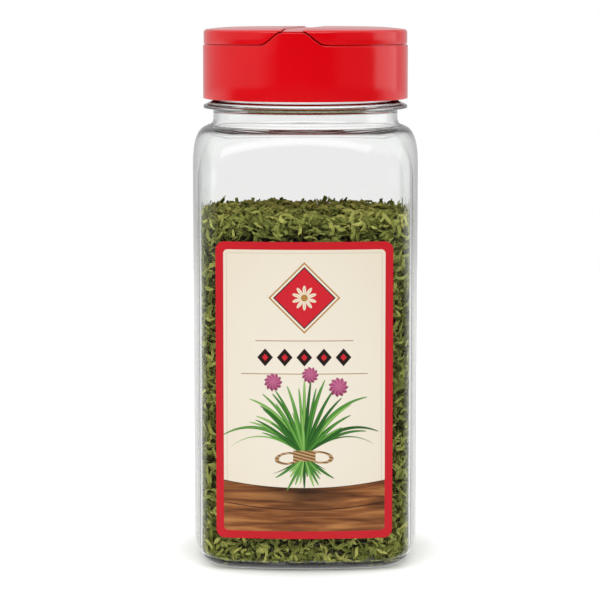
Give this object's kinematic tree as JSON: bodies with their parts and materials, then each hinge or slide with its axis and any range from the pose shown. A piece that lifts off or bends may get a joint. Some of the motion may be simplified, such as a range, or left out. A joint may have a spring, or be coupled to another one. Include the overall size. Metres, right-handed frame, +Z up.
{
  "type": "spice jar of dried chives with a two-flap screw cap",
  "caption": "Clear square plastic spice jar, filled with dried chopped chives, with a front label and a red screw cap whose two hinged flaps cover shaker holes and a spoon opening.",
  "frame": {"origin": "on the jar's axis, at the plane that its base stands on", "axes": "+Z up along the jar's axis, -Y towards the label, +X to the right of someone who faces the label"},
  "size_m": [0.064, 0.0645, 0.1514],
  "materials": {
    "clear_pet": "polished",
    "dried_chive": "matte",
    "printed_film": "satin",
    "red_polypropylene": "gloss"
  },
  "bodies": {
    "jar": {"jar": "clear_pet", "chives": "dried_chive", "label": "printed_film"},
    "cap": {"cap_base": "red_polypropylene"},
    "shake_flap": {"flap_shake": "red_polypropylene"},
    "spoon_flap": {"flap_spoon": "red_polypropylene"}
  },
  "joints": [
    {"name": "cap_turn", "type": "hinge", "parent": "jar", "child": "cap", "pos_m": [0, 0, 0.138], "axis": [0, 0, 1], "range_deg": [0, 360]},
    {"name": "shake_flap_hinge", "type": "hinge", "parent": "cap", "child": "shake_flap", "pos_m": [-0.00312, 0.00042, 0.1511], "axis": [0.1323, 0.9912, 0], "range_deg": [0, 95]},
    {"name": "spoon_flap_hinge", "type": "hinge", "parent": "cap", "child": "spoon_flap", "pos_m": [0.00312, -0.00042, 0.1511], "axis": [-0.1323, -0.9912, 0], "range_deg": [0, 95]}
  ]
}
